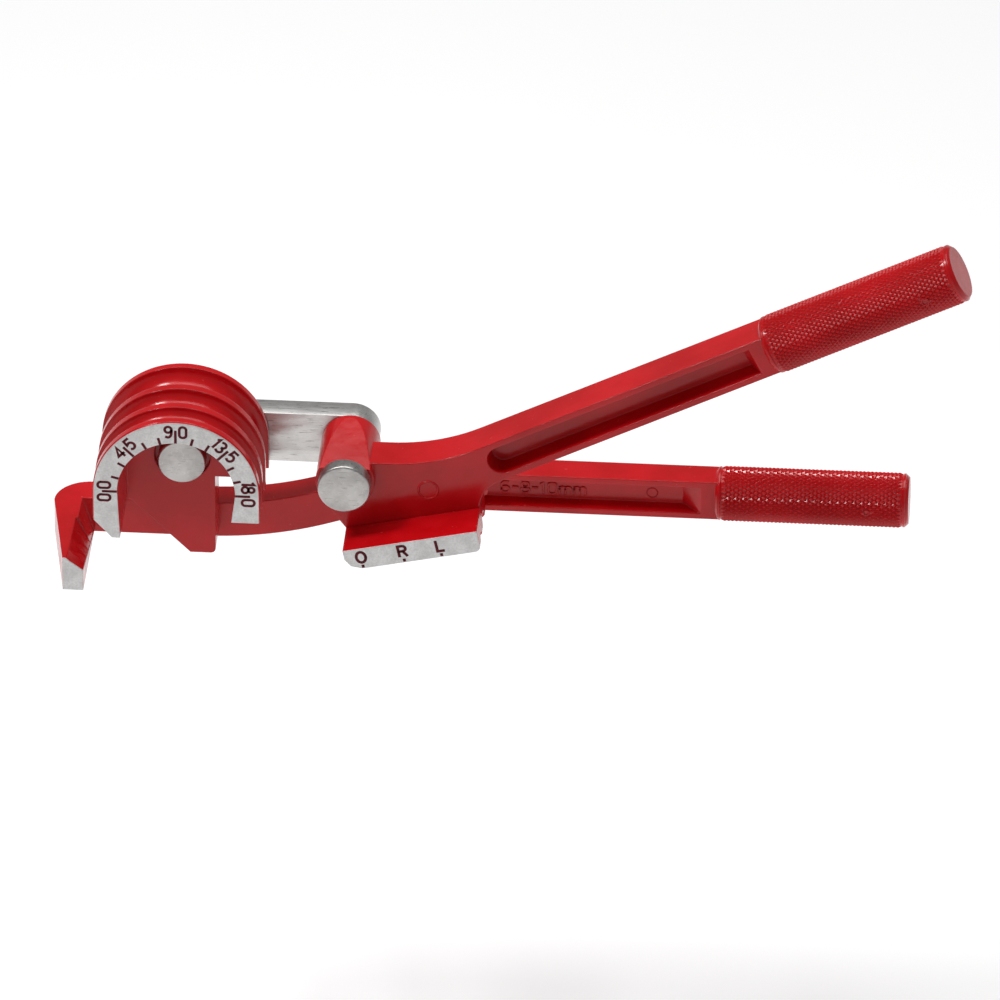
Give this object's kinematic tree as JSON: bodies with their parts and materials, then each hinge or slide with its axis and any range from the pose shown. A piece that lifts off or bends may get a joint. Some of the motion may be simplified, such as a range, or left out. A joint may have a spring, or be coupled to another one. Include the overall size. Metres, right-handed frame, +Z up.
{
  "type": "manual tube bender",
  "caption": "Hand-held tube bender: half-round wheel with grooves for three tube sizes, hook, sliding shoe on a swinging link, and two long knurled handles.",
  "frame": {"origin": "on the bending axis, the centre of the half-round wheel, in the plane of the ground front faces of wheel, shoe and hook", "axes": "+X along the lower handle from the bending axis to its grip, +Y back through the tool from the scale face, +Z up from the lower handle to the wheel's crown"},
  "size_m": [0.2897, 0.0492, 0.1255],
  "materials": {
    "red_enamel": "glossy red enamel on cast aluminium, ground bare on the scale and shoe faces",
    "link_steel": "brushed, bright plated steel bar",
    "pin_steel": "turned steel, lightly scratched",
    "screw_steel": "dark socket-head steel",
    "bare_aluminium": "ground bare face",
    "mark_paint": "dark red paint in the scale marks"
  },
  "bodies": {
    "lower_handle": {"former_handle": "red_enamel", "bending_wheel": "red_enamel", "wheel_screws": "screw_steel", "centre_pin": "pin_steel", "centre_washer": "pin_steel"},
    "link": {"link_bar": "link_steel", "shoe_pin": "pin_steel", "shoe_washer": "pin_steel"},
    "upper_handle": {"shoe_handle": "red_enamel", "bending_shoe": "red_enamel"}
  },
  "joints": [
    {"name": "link_swing", "type": "hinge", "parent": "lower_handle", "child": "link", "pos_m": [0, 0, 0], "axis": [0, -1, 0], "range_deg": [0, 180]},
    {"name": "upper_handle_pivot", "type": "hinge", "parent": "link", "child": "upper_handle", "pos_m": [0.0522, 0, 0], "axis": [0, -1, 0], "range_deg": [-102.4, 60]}
  ]
}
